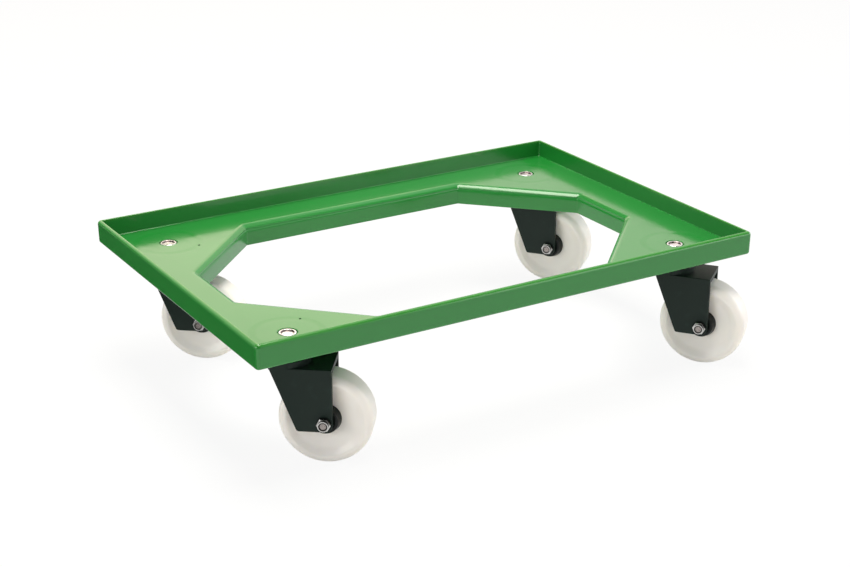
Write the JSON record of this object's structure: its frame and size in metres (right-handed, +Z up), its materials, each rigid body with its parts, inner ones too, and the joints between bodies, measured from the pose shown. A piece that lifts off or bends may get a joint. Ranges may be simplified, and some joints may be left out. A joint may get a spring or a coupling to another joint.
{
  "type": "crate dolly",
  "caption": "Low moulded dolly for a stacking crate: rimmed open frame with corner gussets on swivelling castors with plain plastic wheels.",
  "frame": {"origin": "on the floor under the centre of the frame", "axes": "+X along the long side, +Y along the short side away from the picture's viewer, +Z up"},
  "size_m": [0.6215, 0.4367, 0.1585],
  "materials": {
    "frame_green": "glossy moulded",
    "fork_black": "satin moulded",
    "guard_black": "satin moulded",
    "wheel_white": "satin turned",
    "rivet_steel": "bright rolled",
    "zinc_steel": "zinc plated",
    "bearing_steel": "hardened and polished",
    "bush_plastic": "natural",
    "insert_nylon": "natural"
  },
  "bodies": {
    "frame": {"frame": "frame_green", "swivel_rivet_front_left": "rivet_steel", "retaining_washer_front_left": "zinc_steel", "upper_race_front_left": "bearing_steel", "swivel_rivet_front_right": "rivet_steel", "retaining_washer_front_right": "zinc_steel", "upper_race_front_right": "bearing_steel", "swivel_rivet_rear_left": "rivet_steel", "retaining_washer_rear_left": "zinc_steel", "upper_race_rear_left": "bearing_steel", "swivel_rivet_rear_right": "rivet_steel", "retaining_washer_rear_right": "zinc_steel", "upper_race_rear_right": "bearing_steel"},
    "castor_front_left": {"lower_race_front_left": "bearing_steel", "swivel_bush_front_left": "bush_plastic", "fork_front_left": "fork_black", "axle_sleeve_front_left": "zinc_steel", "thread_guard_nut_side_front_left": "guard_black", "thread_guard_head_side_front_left": "guard_black", "axle_bolt_front_left": "zinc_steel", "lock_nut_front_left": "zinc_steel", "nut_insert_front_left": "insert_nylon"},
    "balls_front_left": {"ball_ring_front_left": "bearing_steel"},
    "wheel_front_left": {"wheel_front_left": "wheel_white"},
    "castor_front_right": {"lower_race_front_right": "bearing_steel", "swivel_bush_front_right": "bush_plastic", "fork_front_right": "fork_black", "axle_sleeve_front_right": "zinc_steel", "thread_guard_nut_side_front_right": "guard_black", "thread_guard_head_side_front_right": "guard_black", "axle_bolt_front_right": "zinc_steel", "lock_nut_front_right": "zinc_steel", "nut_insert_front_right": "insert_nylon"},
    "balls_front_right": {"ball_ring_front_right": "bearing_steel"},
    "wheel_front_right": {"wheel_front_right": "wheel_white"},
    "castor_rear_left": {"lower_race_rear_left": "bearing_steel", "swivel_bush_rear_left": "bush_plastic", "fork_rear_left": "fork_black", "axle_sleeve_rear_left": "zinc_steel", "thread_guard_nut_side_rear_left": "guard_black", "thread_guard_head_side_rear_left": "guard_black", "axle_bolt_rear_left": "zinc_steel", "lock_nut_rear_left": "zinc_steel", "nut_insert_rear_left": "insert_nylon"},
    "balls_rear_left": {"ball_ring_rear_left": "bearing_steel"},
    "wheel_rear_left": {"wheel_rear_left": "wheel_white"},
    "castor_rear_right": {"lower_race_rear_right": "bearing_steel", "swivel_bush_rear_right": "bush_plastic", "fork_rear_right": "fork_black", "axle_sleeve_rear_right": "zinc_steel", "thread_guard_nut_side_rear_right": "guard_black", "thread_guard_head_side_rear_right": "guard_black", "axle_bolt_rear_right": "zinc_steel", "lock_nut_rear_right": "zinc_steel", "nut_insert_rear_right": "insert_nylon"},
    "balls_rear_right": {"ball_ring_rear_right": "bearing_steel"},
    "wheel_rear_right": {"wheel_rear_right": "wheel_white"}
  },
  "joints": [
    {"name": "swivel_front_left", "type": "hinge", "parent": "frame", "child": "castor_front_left", "pos_m": [-0.247, -0.151, 0.108], "axis": [0, 0, 1], "continuous": true},
    {"name": "roll_front_left", "type": "hinge", "parent": "castor_front_left", "child": "wheel_front_left", "pos_m": [-0.2161, -0.17446, 0.049], "axis": [-0.6046, -0.7965, 0], "continuous": true},
    {"name": "ball_roll_front_left", "type": "hinge", "parent": "frame", "child": "balls_front_left", "pos_m": [-0.247, -0.151, 0.112], "axis": [0, 0, 1], "continuous": true},
    {"name": "swivel_front_right", "type": "hinge", "parent": "frame", "child": "castor_front_right", "pos_m": [0.247, -0.151, 0.108], "axis": [0, 0, 1], "continuous": true},
    {"name": "roll_front_right", "type": "hinge", "parent": "castor_front_right", "child": "wheel_front_right", "pos_m": [0.2711, -0.18141, 0.049], "axis": [-0.7837, -0.6211, 0], "continuous": true},
    {"name": "ball_roll_front_right", "type": "hinge", "parent": "frame", "child": "balls_front_right", "pos_m": [0.247, -0.151, 0.112], "axis": [0, 0, 1], "continuous": true},
    {"name": "swivel_rear_left", "type": "hinge", "parent": "frame", "child": "castor_rear_left", "pos_m": [-0.247, 0.151, 0.108], "axis": [0, 0, 1], "continuous": true},
    {"name": "roll_rear_left", "type": "hinge", "parent": "castor_rear_left", "child": "wheel_rear_left", "pos_m": [-0.21672, 0.12674, 0.049], "axis": [-0.6252, -0.7804, 0], "continuous": true},
    {"name": "ball_roll_rear_left", "type": "hinge", "parent": "frame", "child": "balls_rear_left", "pos_m": [-0.247, 0.151, 0.112], "axis": [0, 0, 1], "continuous": true},
    {"name": "swivel_rear_right", "type": "hinge", "parent": "frame", "child": "castor_rear_right", "pos_m": [0.247, 0.151, 0.108], "axis": [0, 0, 1], "continuous": true},
    {"name": "roll_rear_right", "type": "hinge", "parent": "castor_rear_right", "child": "wheel_rear_right", "pos_m": [0.27131, 0.12076, 0.049], "axis": [-0.7793, -0.6266, 0], "continuous": true},
    {"name": "ball_roll_rear_right", "type": "hinge", "parent": "frame", "child": "balls_rear_right", "pos_m": [0.247, 0.151, 0.112], "axis": [0, 0, 1], "continuous": true}
  ],
  "couplings": [
    {"joint": "ball_roll_front_left", "follows": "swivel_front_left", "ratio": 0.5},
    {"joint": "ball_roll_front_right", "follows": "swivel_front_right", "ratio": 0.5},
    {"joint": "ball_roll_rear_left", "follows": "swivel_rear_left", "ratio": 0.5},
    {"joint": "ball_roll_rear_right", "follows": "swivel_rear_right", "ratio": 0.5}
  ]
}
